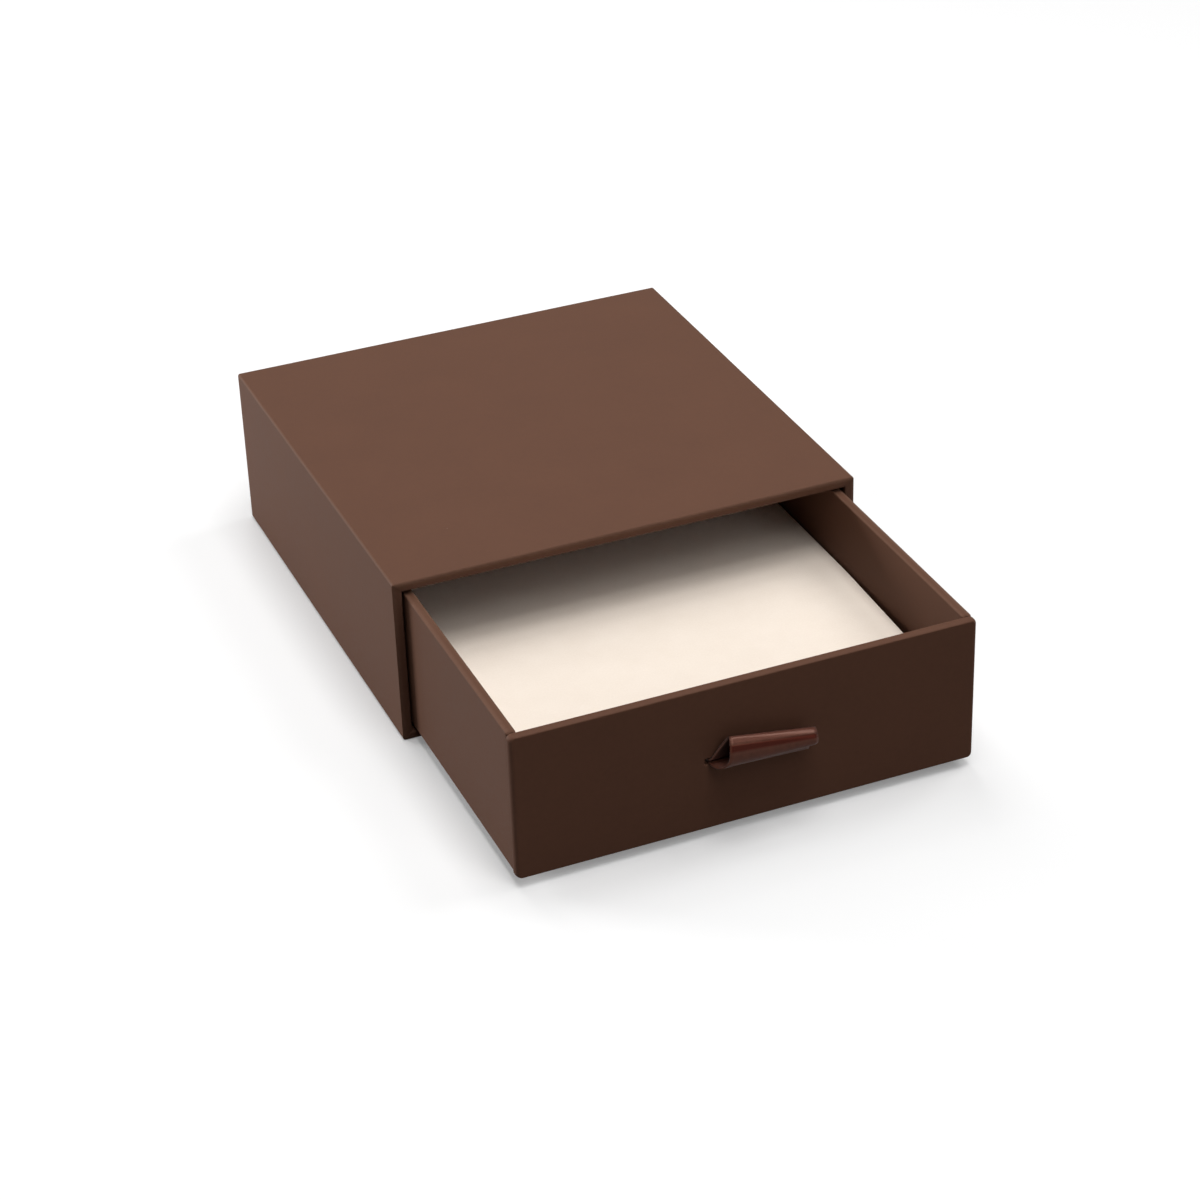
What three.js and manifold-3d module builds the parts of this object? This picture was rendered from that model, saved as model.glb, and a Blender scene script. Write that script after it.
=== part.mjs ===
// Drawer gift box: a wrapped greyboard sleeve, and a wrapped tray that slides out of it by a ribbon pull.
// Millimetres. X runs from left to right, Y from the drawer front to the back, Z up from the table.
import * as THREE from "three";
import { mergeVertices } from "three/addons/utils/BufferGeometryUtils.js";
import Module from "manifold-3d";

const wasm = await Module();
wasm.setup();

// Sizes of the stock the box is made from
const paper = 0.125;
const board = 1.5;
const ribbonWidth = 16;
const ribbonThickness = 0.25;
const facing = 0.5;

// Sizes of the sleeve
const sleeveWidth = 90;
const sleeveLength = 92;
const sleeveHeight = 32.5;
const sleeveRound = 0.5;
const tapeReach = 8;
const mouthFold = 12;
const underFlap = 12;
const backFlap = 10;
const sheetSetback = 0.5;

// Sizes of the drawer and how far it stands open
const drawerOpen = 50.5;
const trayRound = 0.5;
const panelRound = 0.75;
const panelCornerRound = 0.75;
const panelFlap = 10;
const panelLiningDrop = 0.5;
const trayLift = 0.5;
const insertTopDrop = 13.5;
const insertTaper = 1.25;
const insertTaperLength = 41.25;
const slitWidth = 20;
const slitHeight = 1.25;
const slitAside = 1.5;
const slitDrop = 0.4375;
const ribbonAside = 0.25;
const tailLength = 8.5;
const tailBond = 0.125;
const strandGap = 0.35;
const patchMargin = 3;
const cutPast = 1;

// Fits between the moving and the fixed pieces
const trayClearance = 0.5;
const panelClearance = 0.25;
const panelFloorClearance = 0.125;
const ceilingClearance = 0.75;
const backClearance = 0.5;
const insertClearance = 0.25;
const insertFrontClearance = 0.625;

// The ribbon loop, as shares of its reach out from the panel and of its height over the slit
const loopReach = 4;
const loopHeight = 4.1;
const loopLean = 3;
const loopRightHeightShare = 0.62;
const loopLeftHeightShare = 1.25;
const loopShares = [
  [0.07, 0.02],
  [0.12, 0.16],
  [0.18, 0.5],
  [0.29, 0.83],
  [0.5, 1],
  [0.76, 0.9],
  [0.95, 0.62],
  [1, 0.3],
  [0.88, 0.02],
  [0.62, -0.14],
  [0.32, -0.16],
];
const loopPoints = 36;
const widthSteps = 8;
const arcSteps = 6;

const wall = paper + board + paper;
const quarterTurn = Math.PI / 2;

// Span helpers: a span is a low and a high coordinate
const centred = (size) => [-size / 2, size / 2];
const inset = ([low, high], by) => [low + by, high - by];
const lengthOf = ([low, high]) => high - low;
const middleOf = ([low, high]) => (low + high) / 2;

const sleeveX = centred(sleeveWidth);
const sleeveY = centred(sleeveLength);
const wrapZ = [paper, sleeveHeight];
const coreX = inset(sleeveX, paper);
const coreZ = inset(wrapZ, paper);
const liningX = inset(sleeveX, wall - paper);
const liningZ = inset([0, sleeveHeight], wall - paper);
const cavityX = inset(sleeveX, wall);
const cavityZ = inset([0, sleeveHeight], wall);
const boardFrontY = sleeveY[0] + paper;
const foldEndY = boardFrontY + mouthFold;
const backCoverY = [sleeveY[1] - paper, sleeveY[1]];
const backBoardY = [backCoverY[0] - paper - board, backCoverY[0] - paper];
const backLiningY = [backBoardY[0] - paper, backBoardY[0]];
const wallsY = [boardFrontY, backBoardY[0]];
const underMiddleX = inset(sleeveX, underFlap);

const drawerY = [sleeveY[0] - drawerOpen, backLiningY[0] - backClearance - drawerOpen];
const drawerTop = cavityZ[1] - ceilingClearance;
const panelX = inset(cavityX, panelClearance);
const panelY = [drawerY[0], drawerY[0] + wall];
const panelZ = [cavityZ[0] + panelFloorClearance, drawerTop];
const panelBoardZ = inset(panelZ, paper);
const panelLiningY = [panelY[1], panelY[1] + paper];
const trayX = inset(cavityX, trayClearance);
const trayY = [panelY[1], drawerY[1]];
const trayZ = [panelZ[0] + trayLift, drawerTop];
const trayCoreX = inset(trayX, paper);
const trayCoreY = [trayY[0], trayY[1] - paper];
const trayCoreZ = inset(trayZ, paper);
const baseTop = trayCoreZ[0] + board;
const wellX = inset(trayX, wall);
const wellBack = trayY[1] - wall;
const innerSkinX = inset(wellX, -paper);
const trayWallsZ = [baseTop, trayCoreZ[1]];
const slitX = [slitAside - slitWidth / 2, slitAside + slitWidth / 2];
const slitMiddleZ = middleOf(panelZ) - slitDrop;
const slitZ = [slitMiddleZ - slitHeight / 2, slitMiddleZ + slitHeight / 2];
const panelBack = -lengthOf([panelY[0], panelLiningY[1]]);
const firstTail = panelBack - ribbonThickness / 2;
const secondTail = firstTail - ribbonThickness - tailBond;
const tailsOut = secondTail - ribbonThickness / 2;
const patchThickness = paper;
const ribbonLeft = slitAside + ribbonAside - (ribbonWidth + loopLean) / 2;
const insertX = inset(wellX, insertClearance);
const patchBack = panelY[0] - tailsOut + patchThickness;
const insertY = [patchBack + insertFrontClearance, wellBack - insertClearance];
const insertZ = [baseTop + paper, drawerTop - insertTopDrop];
const facingZ = [insertZ[1] - facing, insertZ[1]];

const looks = {
  wrap: { color: 0x6b4f42, roughness: 0.62, metalness: 0 },
  lining: { color: 0x4a3228, roughness: 0.8, metalness: 0 },
  greyboard: { color: 0x8f887c, roughness: 0.95, metalness: 0 },
  tape: { color: 0xcdbd9f, roughness: 0.85, metalness: 0 },
  ribbon: { color: 0x6d4335, roughness: 0.38, metalness: 0 },
  foam: { color: 0xefe8dc, roughness: 0.95, metalness: 0 },
  facing: { color: 0xf1e3cf, roughness: 0.9, metalness: 0 },
};

function toSolid(geometry) {
  geometry.deleteAttribute("normal");
  geometry.deleteAttribute("uv");
  const merged = mergeVertices(geometry);
  const vertProperties = merged.attributes.position.array;
  const triVerts = new Uint32Array(merged.index.array);
  return new wasm.Manifold(new wasm.Mesh({ numProp: 3, vertProperties, triVerts }));
}

function block(xSpan, ySpan, zSpan) {
  const box = new THREE.BoxGeometry(lengthOf(xSpan), lengthOf(ySpan), lengthOf(zSpan));
  return toSolid(box.translate(middleOf(xSpan), middleOf(ySpan), middleOf(zSpan)));
}

// A rectangle's outline, its corners counted round from the low, low one, rounded where a radius is given
function roundedOutline(uSpan, vSpan, radii) {
  const corners = [
    [uSpan[0], vSpan[0], 1, 1, 2],
    [uSpan[1], vSpan[0], -1, 1, 3],
    [uSpan[1], vSpan[1], -1, -1, 0],
    [uSpan[0], vSpan[1], 1, -1, 1],
  ];
  return corners.flatMap(([u, v, uIn, vIn, turns], index) => {
    const radius = radii[index];
    if (radius === 0) return [new THREE.Vector2(u, v)];
    const points = [];
    for (let step = 0; step <= arcSteps; step += 1) {
      const angle = (turns + step / arcSteps) * quarterTurn;
      const along = u + uIn * radius + radius * Math.cos(angle);
      const across = v + vIn * radius + radius * Math.sin(angle);
      points.push(new THREE.Vector2(along, across));
    }
    return points;
  });
}

function extruded(points, depth, steps = 1) {
  const settings = { depth, steps, bevelEnabled: false };
  return new THREE.ExtrudeGeometry(new THREE.Shape(points), settings);
}

// A bar along Y with all four long edges rounded
function barAlongY(xSpan, ySpan, zSpan, radius) {
  const outline = roundedOutline(xSpan, zSpan, [radius, radius, radius, radius]);
  const bar = extruded(outline, lengthOf(ySpan)).rotateX(quarterTurn);
  return toSolid(bar.translate(0, ySpan[1], 0));
}

// An upright slab with rounded upright edges, radii given for the front pair and the back pair
function slabAlongZ(xSpan, ySpan, zSpan, frontRadius, backRadius) {
  const outline = roundedOutline(xSpan, ySpan, [frontRadius, frontRadius, backRadius, backRadius]);
  return toSolid(extruded(outline, lengthOf(zSpan)).translate(0, 0, zSpan[0]));
}

function piece(name, solid, look) {
  const { vertProperties, triVerts } = solid.getMesh();
  const shared = new THREE.BufferGeometry();
  shared.setAttribute("position", new THREE.BufferAttribute(vertProperties, 3));
  shared.setIndex(new THREE.BufferAttribute(triVerts, 1));
  const geometry = shared.toNonIndexed();
  geometry.computeVertexNormals();
  const mesh = new THREE.Mesh(geometry, new THREE.MeshStandardMaterial(looks[look]));
  mesh.name = name;
  return mesh;
}

// The block that the sleeve's boards and stay tapes fill, with the strip between the under flaps
function sleeveCore(ySpan) {
  const body = barAlongY(coreX, ySpan, coreZ, sleeveRound - paper);
  return body.add(block(underMiddleX, ySpan, [paper, coreZ[0] + paper]));
}

// A paper tape folded round one long corner of the sleeve and pressed flush into both boards
function sleeveTape(xSide, zSide) {
  const round = sleeveRound - paper;
  const outer = barAlongY(coreX, wallsY, coreZ, round);
  const innerY = inset(wallsY, -cutPast);
  const inner = barAlongY(inset(coreX, paper), innerY, inset(coreZ, paper), round - paper);
  const [left, right] = coreX;
  const [under, over] = coreZ;
  const reachX = xSide < 0 ? [left, left + tapeReach] : [right - tapeReach, right];
  const reachZ = zSide < 0 ? [under, under + tapeReach] : [over - tapeReach, over];
  return outer.subtract(inner).intersect(block(reachX, wallsY, reachZ));
}

function sleeveBoards() {
  const tapes = [
    ["sleeve_bottom_left_tape", sleeveTape(-1, -1)],
    ["sleeve_bottom_right_tape", sleeveTape(1, -1)],
    ["sleeve_top_left_tape", sleeveTape(-1, 1)],
    ["sleeve_top_right_tape", sleeveTape(1, 1)],
  ];
  let walls = sleeveCore(wallsY).subtract(block(liningX, inset(wallsY, -cutPast), liningZ));
  for (const [, tape] of tapes) walls = walls.subtract(tape);
  const zones = [
    ["sleeve_top_board", sleeveX, [liningZ[1], sleeveHeight]],
    ["sleeve_bottom_board", sleeveX, [0, liningZ[0]]],
    ["sleeve_left_board", [sleeveX[0], liningX[0]], liningZ],
    ["sleeve_right_board", [liningX[1], sleeveX[1]], liningZ],
  ];
  const boards = zones.map(([name, xSpan, zSpan]) => {
    return piece(name, walls.intersect(block(xSpan, wallsY, zSpan)), "greyboard");
  });
  const back = piece("sleeve_back_board", sleeveCore(backBoardY), "greyboard");
  return [...boards, back, ...tapes.map(([name, tape]) => piece(name, tape, "tape"))];
}

// One sheet over the top and sides, turned under the bottom board, round the mouth and over the back board
function sleeveWrap() {
  const wrapY = [sleeveY[0], backCoverY[0]];
  const hollowFrontY = [sleeveY[0] - cutPast, boardFrontY];
  const turnInY = [boardFrontY, foldEndY];
  const insideTurnIn = block(cavityX, inset(turnInY, -cutPast), cavityZ);
  const turnIn = block(liningX, turnInY, liningZ).subtract(insideTurnIn);
  const windowX = inset(sleeveX, backFlap);
  const windowZ = inset(wrapZ, backFlap);
  const filledY = [boardFrontY, backBoardY[1]];
  const solid = barAlongY(sleeveX, wrapY, wrapZ, sleeveRound)
    .subtract(sleeveCore(filledY))
    .subtract(block(underMiddleX, filledY, [0, coreZ[0] + paper]))
    .subtract(block(cavityX, hollowFrontY, cavityZ))
    .subtract(block(windowX, inset(backCoverY, -cutPast), windowZ))
    .add(turnIn);
  return piece("sleeve_wrap", solid, "wrap");
}

function sleeveUndersideSheet() {
  const sheet = block(inset(sleeveX, sheetSetback), inset(sleeveY, sheetSetback), [0, paper]);
  return piece("sleeve_underside_sheet", sheet, "wrap");
}

function sleeveBackCover() {
  const cover = block(inset(sleeveX, sheetSetback), backCoverY, inset(wrapZ, sheetSetback));
  return piece("sleeve_back_cover", cover, "wrap");
}

function sleeveLinings() {
  const tubeY = [foldEndY, backLiningY[0]];
  const tube = block(liningX, tubeY, liningZ).subtract(block(cavityX, inset(tubeY, -cutPast), cavityZ));
  const back = block(liningX, backLiningY, liningZ);
  return [piece("sleeve_lining", tube, "lining"), piece("sleeve_back_lining", back, "lining")];
}

// The footprint that the tray's boards and tapes fill, rounded at its two back corners
function trayCore(zSpan, by = 0) {
  const footprintY = [trayCoreY[0] - by, trayCoreY[1] - by];
  return slabAlongZ(inset(trayCoreX, by), footprintY, zSpan, 0, trayRound - paper - by);
}

function trayTape(side) {
  const ring = trayCore(trayWallsZ).subtract(trayCore(inset(trayWallsZ, -cutPast), paper));
  const [left, right] = trayCoreX;
  const reachX = side < 0 ? [left, left + tapeReach] : [right - tapeReach, right];
  return ring.intersect(block(reachX, [trayCoreY[1] - tapeReach, trayCoreY[1]], trayWallsZ));
}

function trayBoards() {
  const leftTape = trayTape(-1);
  const rightTape = trayTape(1);
  const backBoardFront = trayCoreY[1] - board;
  const walls = trayCore(trayWallsZ).subtract(leftTape).subtract(rightTape);
  const sideY = [trayCoreY[0], backBoardFront];
  const leftZone = block([trayCoreX[0], innerSkinX[0]], sideY, trayWallsZ);
  const rightZone = block([innerSkinX[1], trayCoreX[1]], sideY, trayWallsZ);
  const backZone = block(trayCoreX, [backBoardFront, trayCoreY[1]], trayWallsZ);
  return [
    piece("tray_base_board", trayCore([trayCoreZ[0], baseTop]), "greyboard"),
    piece("tray_left_board", walls.intersect(leftZone), "greyboard"),
    piece("tray_right_board", walls.intersect(rightZone), "greyboard"),
    piece("tray_back_board", walls.intersect(backZone), "greyboard"),
    piece("tray_back_left_tape", leftTape, "tape"),
    piece("tray_back_right_tape", rightTape, "tape"),
  ];
}

// One sheet under the base and up the three walls, over their rims and down inside to the base
function trayWrap() {
  const openFrontY = [trayY[0] - cutPast, trayCoreY[1]];
  const boardsZone = slabAlongZ(trayCoreX, openFrontY, trayCoreZ, 0, trayRound - paper);
  const wellY = [trayY[0] - cutPast, wellBack];
  const well = block(wellX, wellY, [baseTop, trayZ[1] + cutPast]);
  const innerSkin = block(innerSkinX, [trayY[0], wellBack + paper], trayWallsZ);
  const solid = slabAlongZ(trayX, trayY, trayZ, 0, trayRound)
    .subtract(boardsZone)
    .add(innerSkin)
    .subtract(well);
  return piece("tray_wrap", solid, "wrap");
}

function trayFloorLining() {
  const lining = block(wellX, [panelLiningY[1], wellBack], [baseTop, baseTop + paper]);
  return piece("tray_floor_lining", lining, "wrap");
}

function slit() {
  return block(slitX, inset(panelY, -cutPast), slitZ);
}

// The panel's block set in by a distance, with its front upright edges and its four corners rounded
function panelSlab(by, ySpan) {
  const xSpan = inset(panelX, by);
  const zSpan = inset(panelZ, by);
  const slab = slabAlongZ(xSpan, ySpan, zSpan, panelRound - by, 0);
  return slab.intersect(barAlongY(xSpan, ySpan, zSpan, panelCornerRound - by));
}

function panelBoard() {
  return piece("front_panel_board", panelSlab(paper, inset(panelY, paper)).subtract(slit()), "greyboard");
}

// A sheet over the panel's face and edges, turned onto the margin of its back, with the slit cut through
function panelWrap() {
  const windowY = [panelY[1] - paper, panelY[1] + cutPast];
  const window = block(inset(panelX, panelFlap), windowY, inset(panelZ, panelFlap));
  const solid = panelSlab(0, panelY)
    .subtract(panelSlab(paper, inset(panelY, paper)))
    .subtract(window)
    .subtract(slit());
  return piece("front_panel_wrap", solid, "wrap");
}

function panelLining() {
  const lining = block(wellX, panelLiningY, [baseTop, panelZ[1] - panelLiningDrop]);
  return piece("front_panel_lining", lining.subtract(slit()), "wrap");
}

// The two sides of a strip along a line, the first side there and the second one back
function stripOutline(line, thickness) {
  const sides = [[], []];
  line.forEach((point, index) => {
    const before = line[Math.max(index - 1, 0)];
    const after = line[Math.min(index + 1, line.length - 1)];
    const into = point.clone().sub(before).normalize();
    const out = after.clone().sub(point).normalize();
    const along = into.clone().add(out).normalize();
    const straight = index === 0 || index === line.length - 1 ? along : into;
    const reach = thickness / 2 / along.dot(straight);
    const across = new THREE.Vector2(-along.y, along.x).multiplyScalar(reach);
    sides[0].push(point.clone().add(across));
    sides[1].push(point.clone().sub(across));
  });
  return [...sides[0], ...sides[1].reverse()];
}

// The ribbon's course seen from the side: out from the panel's face, and up from the middle of the slit
function ribbonCourse() {
  const strand = strandGap / 2 + ribbonThickness / 2;
  const loop = [new THREE.Vector2(0, strand)];
  for (const [reachShare, heightShare] of loopShares) {
    loop.push(new THREE.Vector2(reachShare * loopReach, strand + heightShare * loopHeight));
  }
  loop.push(new THREE.Vector2(0, -strand));
  const curve = new THREE.SplineCurve(loop).getPoints(loopPoints);
  return [
    new THREE.Vector2(secondTail, strand - tailLength),
    new THREE.Vector2(secondTail, strand),
    ...curve,
    new THREE.Vector2(firstTail, -strand),
    new THREE.Vector2(firstTail, strand - tailLength),
  ];
}

// The loop leans to the right as it comes forward, and stands taller at its left end than at its right one
function ribbonPull() {
  const strand = strandGap / 2 + ribbonThickness / 2;
  const strip = extruded(stripOutline(ribbonCourse(), ribbonThickness), ribbonWidth, widthSteps);
  const position = strip.getAttribute("position");
  for (let index = 0; index < position.count; index += 1) {
    const out = position.getX(index);
    const up = position.getY(index);
    const along = ribbonWidth - position.getZ(index);
    const outside = THREE.MathUtils.clamp(out / loopReach, 0, 1);
    const widthShare = along / ribbonWidth;
    const heightShare = THREE.MathUtils.lerp(loopLeftHeightShare, loopRightHeightShare, widthShare);
    const raised = outside > 0 ? Math.max(up - strand, 0) * (heightShare - 1) : 0;
    const x = ribbonLeft + along + outside * loopLean;
    position.setXYZ(index, x, panelY[0] - out, slitMiddleZ + up + raised);
  }
  return piece("ribbon_pull", toSolid(strip), "ribbon");
}

// A slip of paper over the ribbon's two tails, stepped down onto the panel's lining beside them
function ribbonTailPatch() {
  const coverX = inset([ribbonLeft, ribbonLeft + ribbonWidth], -tailBond);
  const patchX = inset(coverX, -patchMargin);
  const low = panelLiningY[1];
  const high = panelY[0] - tailsOut;
  const outline = [
    [patchX[0], low],
    [coverX[0], low],
    [coverX[0], high],
    [coverX[1], high],
    [coverX[1], low],
    [patchX[1], low],
    [patchX[1], low + patchThickness],
    [coverX[1] + patchThickness, low + patchThickness],
    [coverX[1] + patchThickness, high + patchThickness],
    [coverX[0] - patchThickness, high + patchThickness],
    [coverX[0] - patchThickness, low + patchThickness],
    [patchX[0], low + patchThickness],
  ].map(([x, y]) => new THREE.Vector2(x, y));
  const patchZ = [slitMiddleZ - tailLength, slitZ[0] - tailBond];
  const patch = toSolid(extruded(outline, lengthOf(patchZ)).translate(0, 0, patchZ[0]));
  return piece("ribbon_tail_patch", patch, "tape");
}

// The insert was trimmed a little off square, so its right side draws in towards the front
function insertSlab(zSpan) {
  const outline = [
    [insertX[0], insertY[0]],
    [insertX[1] - insertTaper, insertY[0]],
    [insertX[1], insertY[0] + insertTaperLength],
    [insertX[1], insertY[1]],
    [insertX[0], insertY[1]],
  ].map(([x, y]) => new THREE.Vector2(x, y));
  return toSolid(extruded(outline, lengthOf(zSpan)).translate(0, 0, zSpan[0]));
}

function insertPieces() {
  return [
    piece("insert_foam", insertSlab([insertZ[0], facingZ[0]]), "foam"),
    piece("insert_facing", insertSlab(facingZ), "facing"),
  ];
}

const group = new THREE.Group();
group.name = "drawer_gift_box";
group.add(...sleeveBoards());
group.add(sleeveWrap(), sleeveUndersideSheet(), sleeveBackCover(), ...sleeveLinings());
group.add(...trayBoards());
group.add(trayWrap(), trayFloorLining());
group.add(panelBoard(), panelWrap(), panelLining());
group.add(ribbonPull(), ribbonTailPatch());
group.add(...insertPieces());

export default group;
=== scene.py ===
import math

import bmesh
import bpy
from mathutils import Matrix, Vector, noise


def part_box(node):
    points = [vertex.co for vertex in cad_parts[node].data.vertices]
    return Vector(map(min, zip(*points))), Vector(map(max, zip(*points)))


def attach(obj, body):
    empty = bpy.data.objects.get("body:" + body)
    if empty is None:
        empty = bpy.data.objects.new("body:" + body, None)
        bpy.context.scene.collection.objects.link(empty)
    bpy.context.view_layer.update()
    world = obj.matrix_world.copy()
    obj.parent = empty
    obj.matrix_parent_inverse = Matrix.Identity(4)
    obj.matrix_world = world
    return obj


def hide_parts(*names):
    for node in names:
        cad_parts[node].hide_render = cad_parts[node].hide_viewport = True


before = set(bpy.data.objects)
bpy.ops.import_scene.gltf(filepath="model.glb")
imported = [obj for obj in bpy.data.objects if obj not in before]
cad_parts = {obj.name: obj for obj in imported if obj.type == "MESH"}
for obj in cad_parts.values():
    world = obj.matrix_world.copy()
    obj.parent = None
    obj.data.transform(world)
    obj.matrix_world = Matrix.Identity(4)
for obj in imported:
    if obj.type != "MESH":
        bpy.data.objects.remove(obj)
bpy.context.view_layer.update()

# Camera
# It stands in front of the box, to the left and above, with the long lens of a catalogue picture.
# Place, turn and lens come from the straight edges of the sleeve and the drawer in the photograph.
MM = 0.001
camera_place = Vector((-181.24, -485.05, 301.36)) * MM
camera_turn = (59.1734, 1.8234, -22.8353)
lens_data = bpy.data.cameras.new("catalogue_camera")
lens_data.sensor_width = 36
lens_data.lens = 91.53
lens_data.clip_start = 20 * MM
camera = bpy.data.objects.new("catalogue_camera", lens_data)
bpy.context.scene.collection.objects.link(camera)
camera.location = camera_place
camera.rotation_euler = [math.radians(turn) for turn in camera_turn]
bpy.context.scene.camera = camera
bpy.context.scene.view_settings.view_transform = "Standard"


# Floor and light
# A pale seamless table that the camera sees as white, with the box's own soft shadow kept on it.
# Soft boxes hang in a dome round the box, most of them high above it, and the strongest of them
# stands low behind its left side.
class Wire:
    """An output socket in a node tree. Sums on it add Math nodes, and node() adds any other kind."""

    def __init__(self, tree, socket=None):
        self.tree = tree
        self.socket = socket

    def plug(self, socket, value):
        if isinstance(value, Wire):
            self.tree.links.new(value.socket, socket)
        else:
            socket.default_value = value

    def node(self, kind, settings, sockets, output=0):
        """A new node, its settings made first, then a number or a wire given to each socket."""
        made = self.tree.nodes.new(kind)
        for name, value in settings.items():
            setattr(made, name, value)
        for name, value in sockets.items():
            self.plug(made.inputs[name], value)
        return Wire(self.tree, made.outputs[output] if made.outputs else None)

    def maths(self, operation, *values):
        return self.node("ShaderNodeMath", {"operation": operation}, dict(enumerate(values)))

    def __add__(self, other):
        return self.maths("ADD", self, other)

    def __sub__(self, other):
        return self.maths("SUBTRACT", self, other)

    def __rsub__(self, other):
        return self.maths("SUBTRACT", other, self)

    def __mul__(self, other):
        return self.maths("MULTIPLY", self, other)

    def __truediv__(self, other):
        return self.maths("DIVIDE", self, other)

    __radd__ = __add__
    __rmul__ = __mul__

    def between(self, low, high):
        """0 at low, 1 at high, and kept inside that."""
        spread = {"From Min": low, "From Max": high, "Value": self}
        return self.node("ShaderNodeMapRange", {"clamp": True}, spread)

    def noise(self, scale, detail, rough):
        """Cloudy noise over this place, scale to the metre."""
        sockets = {"Vector": self, "Scale": scale, "Detail": detail, "Roughness": rough}
        return self.node("ShaderNodeTexNoise", {}, sockets)

    def tint(self, first, second):
        """The first colour where this is 0 and the second where it is 1."""
        sockets = {0: self, 6: first, 7: second}
        return self.node("ShaderNodeMix", {"data_type": "RGBA"}, sockets, 2)

    def marked(self, name):
        """The number that the mesh keeps under this name at each of its points."""
        return self.node("ShaderNodeAttribute", {"attribute_name": name}, {}, "Fac")


def new_paint(name):
    """A material, its shader, and the wire of the place on the object that patterns are laid by."""
    material = bpy.data.materials.new(name)
    material.use_nodes = True
    shader = material.node_tree.nodes["Principled BSDF"]
    place = Wire(material.node_tree).node("ShaderNodeTexCoord", {}, {}, "Object")
    return material, shader, place


def looked_at(start):
    """1 for rays from the camera, off a gloss or through glass, and 0 for rays that carry light."""
    seen_rays = ("Is Camera Ray", "Is Glossy Ray", "Is Transmission Ray")
    rays = [start.node("ShaderNodeLightPath", {}, {}, name) for name in seen_rays]
    any_ray = rays[0] + rays[1] + rays[2]
    return any_ray.maths("MINIMUM", any_ray, 1.0)


def floor_paint(bounce, seen, lift, near=0.25, far=0.55):
    """White to look at, with the shadow near the box, and grey to the light that it sends back."""
    material, shader, place = new_paint("pale_floor")
    nodes = material.node_tree.nodes
    nodes.remove(shader)
    away = place.node("ShaderNodeVectorMath", {"operation": "LENGTH"}, {0: place}, "Value")
    glow_share = away.between(near, far) * (1 - lift) + lift
    grey = place.node("ShaderNodeBsdfDiffuse", {}, {"Color": (bounce, bounce, bounce, 1)})
    white = place.node("ShaderNodeBsdfDiffuse", {}, {"Color": (seen, seen, seen, 1)})
    glow = place.node("ShaderNodeEmission", {}, {"Color": (1, 1, 1, 1), "Strength": 1.0})
    lifted = place.node("ShaderNodeMixShader", {}, {0: glow_share, 1: white, 2: glow})
    mixed = place.node("ShaderNodeMixShader", {}, {0: looked_at(place), 1: grey, 2: lifted})
    place.plug(nodes["Material Output"].inputs["Surface"], mixed)
    return material


def white_room():
    """Past the floor there is plain white to look at, and it sends no light to the box."""
    room = bpy.data.worlds.new("white_room")
    room.use_nodes = True
    backdrop = room.node_tree.nodes["Background"]
    backdrop.inputs["Color"].default_value = (1, 1, 1, 1)
    start = Wire(room.node_tree)
    start.plug(backdrop.inputs["Strength"], looked_at(start))
    bpy.context.scene.world = room


def place_floor(half_side, drop):
    """A square sheet that lies just under the box."""
    mesh = bpy.data.meshes.new("pale_floor")
    corners = [(-1, -1), (1, -1), (1, 1), (-1, 1)]
    places = [(x * half_side, y * half_side, -drop) for x, y in corners]
    mesh.from_pydata(places, [], [(0, 1, 2, 3)])
    mesh.materials.append(floor_paint(bounce=0.18, seen=0.92, lift=0.21))
    floor = bpy.data.objects.new("pale_floor", mesh)
    bpy.context.scene.collection.objects.link(floor)


def soft_box(name, azimuth, height_angle, power, size=(0.4, 0.4), distance=0.9):
    """A lamp turned to the box: azimuth 0 stands in front of it, 90 at its right, 180 behind it."""
    data = bpy.data.lights.new(name, "AREA")
    data.shape = "RECTANGLE"
    data.size, data.size_y = size
    data.energy = power
    lamp = bpy.data.objects.new(name, data)
    bpy.context.scene.collection.objects.link(lamp)
    around, up = math.radians(azimuth), math.radians(height_angle)
    level = math.cos(up)
    toward = Vector((math.sin(around) * level, -math.cos(around) * level, math.sin(up)))
    lamp.location = toward * distance
    lamp.rotation_euler = (-lamp.location).to_track_quat("-Z", "Y").to_euler()
    lamp.visible_camera = False


white_room()
place_floor(half_side=6.0, drop=0.02 * MM)
soft_box("overhead_front", azimuth=0, height_angle=76, power=2.9)
soft_box("overhead_back", azimuth=180, height_angle=76, power=1.7)
soft_box("high_back", azimuth=180, height_angle=55, power=1.3)
soft_box("high_right", azimuth=90, height_angle=55, power=2.3)
soft_box("high_front", azimuth=0, height_angle=55, power=1.5)
soft_box("low_front", azimuth=15, height_angle=28, power=0.9)
soft_box("low_back_left", azimuth=225, height_angle=11, power=7.7, size=(0.4, 0.33))


# Boards and tapes inside
# Five sleeve boards, four tray boards and the front's board are cut from 1.5 mm grey recycled board.
# Their arrises are crushed as the wraps are rubbed down, so the paper turns in small rounds there.
# Buff kraft tape holds the sleeve's long corners, short of the mouth, and the tray's back corners.
def emboss(shader, height, strength, depth):
    """Raise a pattern in the light, depth being the most that it stands up."""
    bump = {"Height": height, "Strength": strength, "Distance": depth}
    height.plug(shader.inputs["Normal"], height.node("ShaderNodeBump", {}, bump))


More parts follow.
